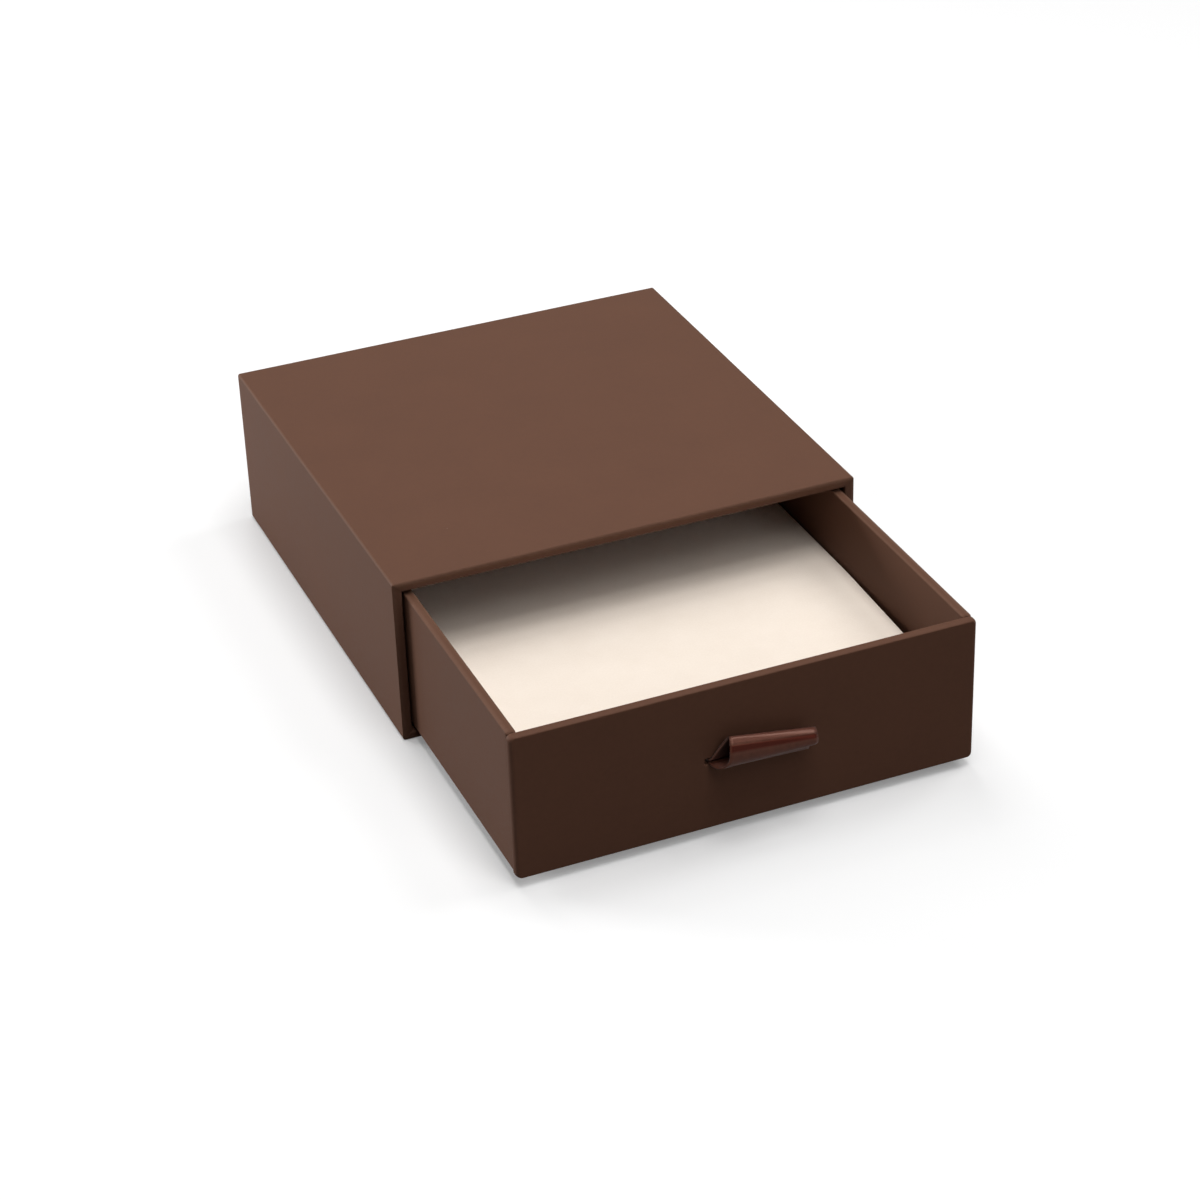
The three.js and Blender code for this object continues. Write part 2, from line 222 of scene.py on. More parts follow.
def board_paint():
    """Grey board: coarse pulp with small brown flecks in it."""
    material, shader, place = new_paint("grey_board")
    dark_grey, pale_grey = (0.21, 0.19, 0.165, 1), (0.31, 0.29, 0.26, 1)
    fleck_brown = (0.12, 0.1, 0.09, 1)
    pulp = place.noise(scale=420.0, detail=5.0, rough=0.7)
    flecks = place.node("ShaderNodeTexVoronoi", {}, {"Vector": place, "Scale": 1500.0})
    fleck = 1 - flecks.between(0.05, 0.22)
    grey = pulp.between(0.35, 0.65).tint(dark_grey, pale_grey)
    place.plug(shader.inputs["Base Color"], (fleck * 0.6).tint(grey, fleck_brown))
    place.plug(shader.inputs["Roughness"], pulp * 0.1 + 0.86)
    emboss(shader, pulp + fleck * 0.3, strength=0.4, depth=0.05 * MM)
    shader.inputs["Specular IOR Level"].default_value = 0.2
    return material


def tape_paint():
    """Kraft tape: long fibres that lie along it."""
    material, shader, place = new_paint("kraft_tape")
    dark_buff, pale_buff = (0.46, 0.36, 0.23, 1), (0.58, 0.48, 0.33, 1)
    stretched = place.node("ShaderNodeMapping", {}, {"Vector": place, "Scale": (1, 0.12, 1)})
    fibre = stretched.noise(scale=2600.0, detail=3.0, rough=0.6)
    place.plug(shader.inputs["Base Color"], fibre.between(0.3, 0.7).tint(dark_buff, pale_buff))
    place.plug(shader.inputs["Roughness"], fibre * 0.15 + 0.7)
    emboss(shader, fibre, strength=0.3, depth=0.02 * MM)
    return material


def repaint(names, material):
    """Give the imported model's own papers and tapes their finish."""
    for name in names:
        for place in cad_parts[name].material_slots:
            place.material = material


def crush_edges(shape, low, high, crush, reach):
    """Press a board's square edges inwards: all of crush at the edge, and none at reach from it."""
    for axis in range(3):
        facing = [1.0 if side == axis else 0.0 for side in range(3)]
        for level in (low[axis] + reach, high[axis] - reach):
            whole = shape.verts[:] + shape.edges[:] + shape.faces[:]
            bmesh.ops.bisect_plane(shape, geom=whole, plane_co=[level] * 3, plane_no=facing)
    for corner in shape.verts:
        place = corner.co.copy()
        gaps = [min(place[axis] - low[axis], high[axis] - place[axis]) for axis in range(3)]
        near = [max(0.0, 1 - gap / reach) for gap in gaps]
        for axis in range(3):
            inward = 1 if place[axis] - low[axis] < high[axis] - place[axis] else -1
            beside = max(near[other] for other in range(3) if other != axis)
            corner.co[axis] += inward * crush * near[axis] * beside


def under_paper(name, material, crush=0.0, reach=0.0, short=0.0):
    """A board or tape as it lies under the paper: its edges crushed, or its front end cut short."""
    weld, front_end = 0.001 * MM, 0.01 * MM
    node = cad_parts[name]
    low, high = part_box(name)
    shape = bmesh.new()
    shape.from_mesh(node.data)
    shape.transform(node.matrix_world)
    bmesh.ops.remove_doubles(shape, verts=shape.verts, dist=weld)
    if crush:
        crush_edges(shape, low, high, crush, reach)
    for corner in shape.verts:
        if corner.co.y < low.y + front_end:
            corner.co.y += short
    mesh = bpy.data.meshes.new(name + "_under_paper")
    shape.to_mesh(mesh)
    shape.free()
    mesh.materials.append(material)
    piece = bpy.data.objects.new(mesh.name, mesh)
    bpy.context.scene.collection.objects.link(piece)
    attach(piece, "sleeve" if name.startswith("sleeve") else "drawer")
    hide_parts(name)
    return piece


grey_board = board_paint()
kraft_tape = tape_paint()
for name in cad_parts:
    if name == "front_panel_board":
        panel_board = under_paper(name, grey_board, crush=0.45 * MM, reach=0.9 * MM)
    elif name.endswith("_board"):
        under_paper(name, grey_board, crush=0.22 * MM, reach=0.45 * MM)
    elif name.startswith("sleeve") and name.endswith("_tape"):
        under_paper(name, kraft_tape, short=0.6 * MM)
repaint(["tray_back_left_tape", "tray_back_right_tape"], kraft_tape)


# Sleeve wrap
# One sheet of brown matt paper pasted over the top and sides, rubbed down hard over every edge.
# It is turned round the mouth and a little way in, under the bottom board and onto the back board.
def paper_paint(name, dark, light, wear_and_highlight, dullness):
    """Matt paper: pulp, grain, dust; folds paler by wear and painted highlight; glue stain and
    painted shade.
    """
    material, shader, place = new_paint(name)
    # The near black colour serves both a real glue stain and painted shade.
    glue_stain_and_shade, dust_grey = (0.016, 0.007, 0.004, 1), (0.3, 0.24, 0.2, 1)
    cloud = place.noise(scale=60.0, detail=4.0, rough=0.6)
    pulp = place.noise(scale=900.0, detail=4.0, rough=0.65)
    grain = place.noise(scale=5200.0, detail=2.0, rough=0.5)
    blend = cloud * 0.45 + pulp * 0.4 + grain * 0.15
    brown = blend.between(0.3, 0.7).tint(dark, light)
    fold = place.marked("fold")
    # Folds turn paler: partly wear, partly a painted highlight for the light caught on the rounded
    # edges.
    wear_and_highlight_share = fold * (pulp * 0.6 + 0.12)
    brown = wear_and_highlight_share.between(0.0, 1.0).tint(brown, wear_and_highlight)
    # Negative marks turn the paper near black: glue stain at the tray's seams, painted shade inside
    # the slit.
    brown = (0 - fold).between(0.0, 1.0).tint(brown, glue_stain_and_shade)
    dust = {"Vector": place, "Scale": 240.0}
    cells = place.node("ShaderNodeTexVoronoi", {}, dust)
    chance = place.node("ShaderNodeTexVoronoi", {}, dust, "Color")
    chosen = place.node("ShaderNodeSeparateColor", {}, {0: chance}).between(0.9, 0.93)
    speck = (1 - cells.between(0.02, 0.045)) * chosen
    place.plug(shader.inputs["Base Color"], (speck * 0.5).tint(brown, dust_grey))
    place.plug(shader.inputs["Roughness"], dullness + pulp * 0.12 + cloud * 0.06)
    emboss(shader, pulp * 0.5 + grain * 0.5, strength=0.35, depth=0.02 * MM)
    shader.inputs["Specular IOR Level"].default_value = 0.05
    return material


def quarter(count):
    """Steps through a quarter turn: its sine, its cosine, and how much the paper bends there."""
    turns = [math.pi / 2 * step / count for step in range(count + 1)]
    return [(math.sin(turn), math.cos(turn), math.sin(2 * turn)) for turn in turns]


def run(start, end, cells, edge):
    """Flat points from start to end, with one close to each end so that the flat stays flat."""
    step = min(edge / abs(end - start), 0.5 / cells)
    between = [cell / cells for cell in range(1, cells)]
    return [start + (end - start) * share for share in [step, *between, 1 - step]]


def rounded_loop(u_span, v_span, radius, cells=22, arc=6, edge=0.25 * MM):
    """Points (u, v, bend) round a rounded rectangle, anticlockwise and as many at every size."""
    (u0, u1), (v0, v1) = u_span, v_span
    centres = [(u0 + radius, v0 + radius), (u1 - radius, v0 + radius)]
    centres += [(u1 - radius, v1 - radius), (u0 + radius, v1 - radius)]
    corners = []
    for (u, v), first in zip(centres, (2, 3, 0, 1)):
        turns = [math.pi / 2 * (first + step / arc) for step in range(arc + 1)]
        bends = [abs(math.sin(2 * turn)) for turn in turns]
        ring = [(u + radius * math.cos(turn), v + radius * math.sin(turn)) for turn in turns]
        corners.append([(*place, bend) for place, bend in zip(ring, bends)])
    points = []
    for index, corner in enumerate(corners):
        points += corner
        (u, v, _), (u_next, v_next, _) = corner[-1], corners[(index + 1) % 4][0]
        for share in run(0.0, 1.0, cells, edge / math.dist((u, v), (u_next, v_next))):
            points.append((u + (u_next - u) * share, v + (v_next - v) * share, 0.0))
    return points


def skin(name, rows, material, closed=True, thickness=0.11 * MM, leave_out=None, caps=()):
    """A pasted sheet over rows of (x, y, z, bend), facing outwards, with its thickness behind it."""
    waver, waver_run = 0.03 * MM, 28 * MM
    across = len(rows[0])
    points = [point for row in rows for point in row]
    places = [Vector(point[:3]) for point in points]
    faces = []
    for row in range(len(rows) - 1):
        for step in range(across if closed else across - 1):
            here, there = row * across + step, row * across + (step + 1) % across
            faces.append((here, here + across, there + across, there))
    if leave_out:
        middles = [sum((places[corner] for corner in face), Vector()) / 4 for face in faces]
        faces = [face for face, middle in zip(faces, middles) if not leave_out(middle)]
    last = len(places) - 1
    rings = {"first": range(across), "last": range(last, last - across, -1)}
    faces += [tuple(rings[cap]) for cap in caps]
    places = [place + noise.noise_vector(place / waver_run) * waver for place in places]
    mesh = bpy.data.meshes.new(name)
    mesh.from_pydata(places, [], faces)
    fold = mesh.attributes.new("fold", "FLOAT", "POINT")
    for vertex, point in zip(fold.data, points):
        vertex.value = point[3]
    mesh.materials.append(material)
    mesh.shade_smooth()
    piece = bpy.data.objects.new(name, mesh)
    bpy.context.scene.collection.objects.link(piece)
    if thickness:
        layer = piece.modifiers.new("paper_thickness", "SOLIDIFY")
        layer.thickness = thickness
        layer.offset = -1
    return piece


PAPER = 0.125 * MM
WALL = 1.75 * MM
BY_FOLD = 0.3 * MM
BY_SHORT_FLAT = 0.15 * MM
WAVER_SEED = 16
noise.seed_set(WAVER_SEED)
sleeve_low, sleeve_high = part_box("sleeve_wrap")
sleeve_paper = paper_paint(
    "brown_sleeve_paper",
    dark=(0.098, 0.0465, 0.0295, 1),
    light=(0.114, 0.0545, 0.0345, 1),
    wear_and_highlight=(0.14, 0.076, 0.052, 1),
    dullness=0.5,
)


def sleeve_profile(length, turn_in, flap):
    """How far in from the outside, and how far behind the mouth, the sheet runs, with its bends."""
    inner, outer, depth, rear = 0.45 * MM, 0.75 * MM, 0.26 * MM, 0.4 * MM
    rows = [(WALL, turn_in, 0.0)]
    rows += [(WALL, back, 0.0) for back in run(turn_in, depth, 4, BY_FOLD)]
    rows += [(WALL - inner + inner * c, depth - depth * s, bend) for s, c, bend in quarter(6)]
    rows += [(inset, 0.0, 0.0) for inset in run(WALL - inner, outer, 1, BY_SHORT_FLAT)]
    rows += [(outer - outer * s, depth - depth * c, bend) for s, c, bend in quarter(8)]
    rows += [(0.0, back, 0.0) for back in run(depth, length - rear, 26, BY_FOLD)]
    rows += [(rear - rear * c, length - rear + rear * s, bend) for s, c, bend in quarter(5)]
    return rows + [(inset, length, 0.0) for inset in (rear + BY_SHORT_FLAT, flap / 2, flap)]


def sleeve_rows(round_edge=0.5 * MM, least_round=0.15 * MM, mitre_step=0.05 * MM, lip=0.2 * MM):
    """Loops round the sleeve, from inside the mouth over the outside to the flaps at the back."""
    (x0, y0, z0), (x1, y1, z1) = sleeve_low, sleeve_high
    rows = []
    for inset, back, bend in sleeve_profile(y1 - y0, turn_in=12.125 * MM, flap=10 * MM):
        rise = inset * (WALL - PAPER) / WALL
        radius = max(round_edge - inset, least_round)
        spans = [(x0 + inset, x1 - inset), (z0 + rise, z1 - inset)]
        upright = inset in (0.0, WALL)
        row = []
        for x, z, corner in rounded_loop(*spans, radius):
            side = min(x - x0, x1 - x) - inset < min(z - z0 - rise, z1 - inset - z)
            lapped = mitre_step if side and back < lip and inset > 0 else 0.0
            row.append((x, y0 + back + lapped, z, max(bend, corner * upright)))
        rows.append(row)
    return rows


def open_underside(middle, sheet=0.2 * MM, half_width=33 * MM, ends=1 * MM):
    """True between the flaps under the bottom board, which the cover sheet closes."""
    between_ends = sleeve_low.y + ends < middle.y < sleeve_high.y - ends
    return middle.z < sheet and abs(middle.x) < half_width and between_ends


sleeve_wrap = skin("sleeve_wrap_paper", sleeve_rows(), sleeve_paper, leave_out=open_underside)
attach(sleeve_wrap, "sleeve")
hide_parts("sleeve_wrap")


# Sleeve's cover sheets and lining
# A cut sheet of the same paper hides the flaps underneath, and another hides them on the back board.
# Inside, a strip of thinner brown paper lines the four walls from the turned-in mouth to the back.
repaint(["sleeve_underside_sheet", "sleeve_back_cover"], sleeve_paper)
lining_paper = paper_paint(
    "brown_lining_paper",
    dark=(0.12, 0.058, 0.035, 1),
    light=(0.145, 0.071, 0.043, 1),
    wear_and_highlight=(0.18, 0.1, 0.066, 1),
    dullness=0.62,
)
repaint(["sleeve_lining", "sleeve_back_lining"], lining_paper)


# Tray wrap
# One sheet goes under the tray, up its three walls, over their tops and down to the tray's floor.
# Its front ends are pinched in, and dark with glue, where the front panel closes them: that is the
# seam beside the front. Thin brown paper lines the floor.
# Marks paper near black: glue stain on the tray's seams, and painted shade on the slit's inner walls.
GLUE_STAIN_AND_SHADE = -1.0
tray_low, tray_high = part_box("tray_wrap")
tray_paper = paper_paint(
    "brown_tray_paper",
    dark=(0.096, 0.0455, 0.0285, 1),
    light=(0.111, 0.0525, 0.033, 1),
    wear_and_highlight=(0.145, 0.08, 0.055, 1),
    dullness=0.5,
)


def tray_profile(low, high, under, floor):
    """How far in from the outside, and how high, the sheet runs, with its bends."""
    foot, outer, inner, depth = 0.4 * MM, 0.8 * MM, 0.5 * MM, 0.26 * MM
    by_rim_flat = 0.1 * MM
    rows = [(under, low, 0.0), (under / 2, low, 0.0), (foot + BY_SHORT_FLAT, low, 0.0)]
    rows += [(foot - foot * s, low + foot - foot * c, bend) for s, c, bend in quarter(5)]
    rows += [(0.0, up, 0.0) for up in run(low + foot, high - depth, 8, BY_FOLD)]
    rows += [(outer - outer * c, high - depth + depth * s, bend) for s, c, bend in quarter(8)]
    rows += [(inset, high, 0.0) for inset in run(outer, WALL - inner, 1, by_rim_flat)]
    for s, c, bend in quarter(6):
        rows.append((WALL - inner + inner * s, high - depth + depth * c, bend))
    rows += [(WALL, up, 0.0) for up in run(high - depth, floor, 6, BY_FOLD)]
    return rows + [(WALL, floor, 0.0)]


def tray_rows(round_edge=0.5 * MM, least_round=0.15 * MM, pinch=0.24 * MM, top_pinch=0.42 * MM):
    """Strips round the tray's three walls, from under its base over the rims to its floor."""
    (x0, y0, _), (x1, y1, _) = tray_low, tray_high
    under_base, rim, seam_run = 0.1 * MM, 0.5 * MM, 0.5 * MM
    pinches = [(0.0, 1.0), (0.1 * MM, 0.6), (0.25 * MM, 0.2), (seam_run, 0.0)]
    rows = []
    for inset, up, bend in tray_profile(tray_low.z, tray_high.z, under=10 * MM, floor=4 * MM):
        radius = max(round_edge - inset, least_round)
        toward_board = 1 if inset < WALL / 2 else -1
        squeezed = 0.0 if up < tray_low.z + under_base else pinch * toward_board
        sunk = top_pinch * max(0.0, 1 - (tray_high.z - up) / rim)
        left, right, back = x0 + inset, x1 - inset, y1 - inset
        upright = inset in (0.0, WALL)
        arc = [(radius * s, radius * c, max(bend, turn * upright)) for s, c, turn in quarter(6)]
        side = [(y0 + gap, share, bend + (GLUE_STAIN_AND_SHADE - bend) * share) for gap, share in pinches]
        side += [(y, 0.0, bend) for y in run(y0 + seam_run, back - radius, 24, BY_FOLD)]
        row = [(left + squeezed * share, y, up - sunk * share, seam) for y, share, seam in side]
        row += [(left + radius - c, back - radius + s, up, wear_and_highlight) for s, c, wear_and_highlight in arc]
        row += [(x, back, up, bend) for x in run(left + radius, right - radius, 22, BY_FOLD)]
        row += [(right - radius + s, back - radius + c, up, wear_and_highlight) for s, c, wear_and_highlight in arc]
        side.reverse()
        row += [(right - squeezed * share, y, up - sunk * share, seam) for y, share, seam in side]
        rows.append(row)
    return rows


tray_wrap = skin("tray_wrap_paper", tray_rows(), tray_paper, closed=False, caps=("first",))
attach(tray_wrap, "drawer")
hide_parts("tray_wrap")
repaint(["tray_floor_lining"], lining_paper)


# Front panel wrap
# The drawer's front is a board of its own, wrapped before it is glued over the ends of the tray.
# The sheet is rubbed round the upright edges, turned onto the back, and pressed in at the slit.
# Thin brown paper lines the back.
SLIT_X = (-8.5 * MM, 11.5 * MM)
SLIT_Z = (14.875 * MM, 16.125 * MM)
panel_low, panel_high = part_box("front_panel_wrap")
# The front's paper is the sleeve's brown made about a tenth darker: painted shade, since the front
# face gets less light than the top.
shaded_panel_paper = paper_paint(
    "shaded_brown_panel_paper",
    dark=(0.09, 0.041, 0.0255, 1),
    light=(0.104, 0.0475, 0.0295, 1),
    wear_and_highlight=(0.12, 0.06, 0.04, 1),
    dullness=0.5,
)


def panel_rows(flap=10 * MM, lip=0.15 * MM, slit_lap=0.06 * MM, slit_wear_and_highlight=0.5):
    """Loops from deep in the slit out over the front, round its edges and onto the back."""
    (x0, y0, z0), (x1, y1, z1) = panel_low, panel_high
    side_round, top_round, front_round, back_round = 0.7 * MM, 0.22 * MM, 1.1 * MM, 0.35 * MM
    slit_round, corner_round = 0.2 * MM, 1.0 * MM
    rows = []

    def add(u_span, v_span, radius, y, bend, upright=False):
        loop = rounded_loop(u_span, v_span, radius)
        rows.append([(x, y, z, max(bend, corner * upright)) for x, z, corner in loop])

    def inset_row(inset_x, inset_z, y, bend):
        radius = max(corner_round - (inset_x + inset_z) / 2, slit_round)
        spans = [(x0 + inset_x, x1 - inset_x), (z0 + inset_z, z1 - inset_z)]
        add(*spans, radius, y, bend, inset_x == 0)

    slit = [(low + slit_lap, high - slit_lap) for low, high in (SLIT_X, SLIT_Z)]
    # The slit's inner walls are painted near black: painted shade for the dark inside of the hole.
    for depth in (y1 - y0, 0.8 * MM, 0.3 * MM):
        add(*slit, slit_round, y0 + depth, GLUE_STAIN_AND_SHADE)
    for s, c, bend in quarter(4):
        out = lip - lip * c
        spans = [(low - out, high + out) for low, high in slit]
        add(*spans, slit_round, y0 + lip - lip * s, bend * slit_wear_and_highlight)
    inner = [(low - lip, high + lip) for low, high in slit]
    outer = [(x0 + side_round, x1 - side_round), (z0 + top_round, z1 - top_round)]
    for share in (0.015, 0.06, 0.15, 0.3, 0.5, 0.7, 0.86, 0.95, 0.99):
        spans = [[a + (b - a) * share for a, b in zip(*pair)] for pair in zip(inner, outer)]
        add(*spans, slit_round, y0, 0.0)
    for s, c, bend in quarter(6):
        inset_x, inset_z = side_round - side_round * s, top_round - top_round * s
        inset_row(inset_x, inset_z, y0 + front_round * (1 - c), bend)
    for y in run(y0 + front_round, y1 - back_round, 2, BY_SHORT_FLAT):
        inset_row(0.0, 0.0, y, 0.0)
    for s, c, bend in quarter(4):
        inset = back_round - back_round * c
        inset_row(inset, inset, y1 - back_round + back_round * s, bend)
    for inset in (back_round + BY_SHORT_FLAT, flap / 2, flap):
        inset_row(inset, inset, y1, 0.0)
    return rows


panel_wrap = skin("front_panel_wrap_paper", panel_rows(), shaded_panel_paper)
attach(panel_wrap, "drawer")
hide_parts("front_panel_wrap")
repaint(["front_panel_lining"], lining_paper)


# Ribbon pull
# A length of brown satin ribbon, 16 mm wide, is folded into a loop that leans to the right.
# Both ends go through the slit and are glued down the back of the front's board under a paper slip.
RIBBON_WIDTH = 16 * MM
RIBBON_LEFT = -7.75 * MM
LEAN = 3 * MM
STRAND = 0.3 * MM
BEHIND_FACE = -0.6 * MM
UPPER_TAIL, LOWER_TAIL = -2.375 * MM, -2.0 * MM
TAIL_FLAT, TAIL_END = -4 * MM, -8.2 * MM
# Each step of the loop: share of the lean, then millimetres out from the front and up from the slit.
LOOP = [(0.0, 0.0, 0.3), (0.07, 0.25, 0.42), (0.24, 0.5, 1.1), (0.51, 0.9, 2.3), (0.77, 1.35, 3.4)]
LOOP += [(0.88, 1.62, 3.9), (0.93, 1.88, 4.22), (0.94, 2.15, 4.36), (0.91, 2.5, 4.3)]
LOOP += [(0.88, 2.8, 4.15), (0.84, 3.1, 3.93), (0.8, 3.35, 3.7), (0.79, 3.5, 3.5), (0.77, 3.62, 3.2)]
LOOP += [(0.75, 3.74, 2.85), (0.73, 3.84, 2.45), (0.72, 3.9, 2.0), (0.67, 3.92, 1.5)]
LOOP += [(0.57, 3.84, 1.05), (0.44, 3.6, 0.62), (0.28, 3.15, 0.2), (0.15, 2.4, -0.1)]
LOOP += [(0.06, 1.4, -0.26), (0.02, 0.6, -0.31), (0.0, 0.0, -0.3)]


def stripe(along, starts, full, fades, ends):
    """A band across the ribbon: 1 from full to fades, 0 before starts and past ends, all in mm."""
    return along.between(starts * MM, full * MM) * (1 - along.between(fades * MM, ends * MM))


def satin_paint():
    """Woven satin: glossy threads, a fine rib, a pale selvedge, a painted highlight over a painted
    dark reflection.
    """
    material, shader, place = new_paint("brown_satin")
    dark_brown, light_brown = (0.045, 0.0135, 0.0075, 1), (0.07, 0.022, 0.013, 1)
    # Colours of the painted highlight and the painted dark reflection on the loop's fold.
    painted_highlight_brown, painted_dark_reflection_red = (0.16, 0.062, 0.044, 1), (0.038, 0.005, 0.0025, 1)
    selvedge_brown = (0.09, 0.032, 0.02, 1)
    thread_pitch, pick_pitch = 0.16 * MM, 0.3 * MM
    along, across = place.marked("along"), place.marked("across")
    threads = across.maths("SINE", across * (2 * math.pi / thread_pitch))
    picks = along.maths("SINE", along * (2 * math.pi / pick_pitch))
    streak = place.noise(scale=700.0, detail=3.0, rough=0.6)
    brown = streak.between(0.3, 0.7).tint(dark_brown, light_brown)
    # Painted highlight: a paler band along the top of the fold, standing for the lamps' glints on the
    # satin.
    painted_highlight_band = stripe(along, 16.3, 16.6, 17.5, 17.8)
    brown = (painted_highlight_band * 0.6).tint(brown, painted_highlight_brown)
    # Painted dark reflection: a dark red band just under it, standing for the satin mirroring the
    # dark room.
    painted_dark_reflection_band = stripe(along, 17.8, 18.1, 18.8, 19.2)
    brown = (painted_dark_reflection_band * 0.9).tint(brown, painted_dark_reflection_red)
    from_middle = across.maths("ABSOLUTE", across - RIBBON_WIDTH / 2)
    selvedge = from_middle.between(7.55 * MM, 7.8 * MM)
    underside = stripe(along, 18.6, 19.6, 24, 25)
    place.plug(shader.inputs["Base Color"], (selvedge * 0.4).tint(brown, selvedge_brown))
    # The painted dark reflection band is also made metallic, so that it mirrors warm.
    place.plug(shader.inputs["Metallic"], painted_dark_reflection_band * 0.8)
    place.plug(shader.inputs["Roughness"], streak * 0.08 + 0.15 + underside * 0.45)
    emboss(shader, threads * 0.5 + picks * 0.3 + 0.5, strength=0.25, depth=0.02 * MM)
    shader.inputs["Specular IOR Level"].default_value = 0.3
    shader.inputs["Specular Tint"].default_value = (1.0, 0.55, 0.42, 1)
    shader.inputs["Sheen Weight"].default_value = 0.1
    return material


def ribbon_course():
    """The ribbon's way: how far it leans, out from the front, and up from the slit's middle."""
    rising = [(UPPER_TAIL, TAIL_END), (UPPER_TAIL, TAIL_FLAT), (UPPER_TAIL, STRAND - 0.35 * MM)]
    rising += [(UPPER_TAIL + 0.12 * MM, STRAND - 0.08 * MM), (UPPER_TAIL + 0.4 * MM, STRAND)]
    rising += [(BEHIND_FACE, STRAND)]
    loop = [(lean * LEAN, out * MM, up * MM) for lean, out, up in LOOP]
    falling = [(BEHIND_FACE, -STRAND), (LOWER_TAIL + 0.4 * MM, -STRAND)]
    falling += [(LOWER_TAIL + 0.12 * MM, -STRAND - 0.1 * MM), (LOWER_TAIL, -STRAND - 0.4 * MM)]
    falling += [(LOWER_TAIL, TAIL_FLAT), (LOWER_TAIL, TAIL_END)]
    return [(0, *spot) for spot in rising] + loop + [(0, *spot) for spot in falling]


def ribbon_tree(material):
    """A flat grid laid along the course, with its right edge held over and let droop."""
    tree = bpy.data.node_groups.new("ribbon_along_its_course", "GeometryNodeTree")
    sizes = ["Width", "Left Edge", "Face", "Slit Height", "Reach", "Lean", "Strand"]
    sizes += ["Left Share", "Right Share", "Right Droop", "Right Hold"]
    steps = ["Steps Along", "Steps Across"]
    for names, kind in ((["Geometry"], "Geometry"), (sizes, "Float"), (steps, "Int")):
        for name in names:
            tree.interface.new_socket(name, in_out="INPUT", socket_type="NodeSocket" + kind)
    tree.interface.new_socket("Geometry", in_out="OUTPUT", socket_type="NodeSocketGeometry")
    start = Wire(tree)

    def given(name):
        return start.node("NodeGroupInput", {}, {}, name)

    def part(spot, axis):
        return start.node("ShaderNodeSeparateXYZ", {}, {0: spot}, axis)

    path = start.node("GeometryNodeMeshToCurve", {}, {"Mesh": given("Geometry")})
    smooth = {"spline_type": "CATMULL_ROM"}
    path = start.node("GeometryNodeCurveSplineType", smooth, {"Curve": path})
    grid = {"Size X": 1.0, "Size Y": 1.0}
    grid |= {"Vertices X": given("Steps Along"), "Vertices Y": given("Steps Across")}
    grid = start.node("GeometryNodeMeshGrid", {}, grid)
    place = start.node("GeometryNodeInputPosition", {}, {})
    for name, value in (("along", part(place, "X") + 0.5), ("across", part(place, "Y") + 0.5)):
        kept = {"Geometry": grid, "Name": name, "Value": value}
        number = {"data_type": "FLOAT", "domain": "POINT"}
        grid = start.node("GeometryNodeStoreNamedAttribute", number, kept)
    number = {"data_type": "FLOAT"}
    along = start.node("GeometryNodeInputNamedAttribute", number, {"Name": "along"})
    across = start.node("GeometryNodeInputNamedAttribute", number, {"Name": "across"})
    whole = {"mode": "FACTOR", "use_all_curves": True}
    sampled = {"Curves": path, "Factor": along}
    spot = start.node("GeometryNodeSampleCurve", whole, sampled, "Position")
    lean, out, up = [part(spot, axis) for axis in "XYZ"]
    in_front = out.maths("GREATER_THAN", out, 0.0)
    outside = (out / given("Reach")).between(0.0, 1.0)
    share = given("Left Share") + (given("Right Share") - given("Left Share")) * across
    above = up.maths("MAXIMUM", up - given("Strand"), 0.0)
    lifted = above * (share - 1.0) * in_front
    low_leaf = up.maths("LESS_THAN", up, 0.0) * outside * across * given("Right Droop")
    held = (given("Lean") - lean) * across * outside * given("Right Hold")
    x = given("Left Edge") + across * given("Width") + lean + held
    z = given("Slit Height") + up + lifted - low_leaf
    placed = start.node("ShaderNodeCombineXYZ", {}, {"X": x, "Y": given("Face") - out, "Z": z})
    ribbon = start.node("GeometryNodeSetPosition", {}, {"Geometry": grid, "Position": placed})
    ribbon = start.node("GeometryNodeSetShadeSmooth", {}, {"Geometry": ribbon})
    ribbon = start.node("GeometryNodeRealizeInstances", {}, {"Geometry": ribbon})
    painted = {"Geometry": ribbon, "Material": material}
    ribbon = start.node("GeometryNodeSetMaterial", {}, painted)
    start.node("NodeGroupOutput", {}, {"Geometry": ribbon})
    return tree


def made_by_nodes(name, points, tree, inputs):
    """The plain mesh piece that a node tree makes along a line of points."""
    line = bpy.data.meshes.new(name)
    line.from_pydata(points, [(step, step + 1) for step in range(len(points) - 1)], [])
    piece = bpy.data.objects.new(name, line)
    bpy.context.scene.collection.objects.link(piece)
    maker = piece.modifiers.new(name, "NODES")
    maker.node_group = tree
    for socket in tree.interface.items_tree:
        if socket.in_out == "INPUT" and socket.name in inputs:
            maker[socket.identifier] = inputs[socket.name]
    made = piece.evaluated_get(bpy.context.evaluated_depsgraph_get())
    shape = bpy.data.meshes.new_from_object(made)
    piece.modifiers.remove(maker)
    piece.data = shape
    return piece


def thread_length(ribbon, share, within=0.01):
    """Length of the lengthwise thread that lies at this share of the ribbon's width."""
    marks = [ribbon.data.attributes[name].data for name in ("along", "across")]
    spots = sorted(
        (along.value, *vertex.co)
        for along, across, vertex in zip(*marks, ribbon.data.vertices)
        if abs(across.value - share) < within
    )
    return sum(math.dist(here[1:], there[1:]) for here, there in zip(spots, spots[1:]))


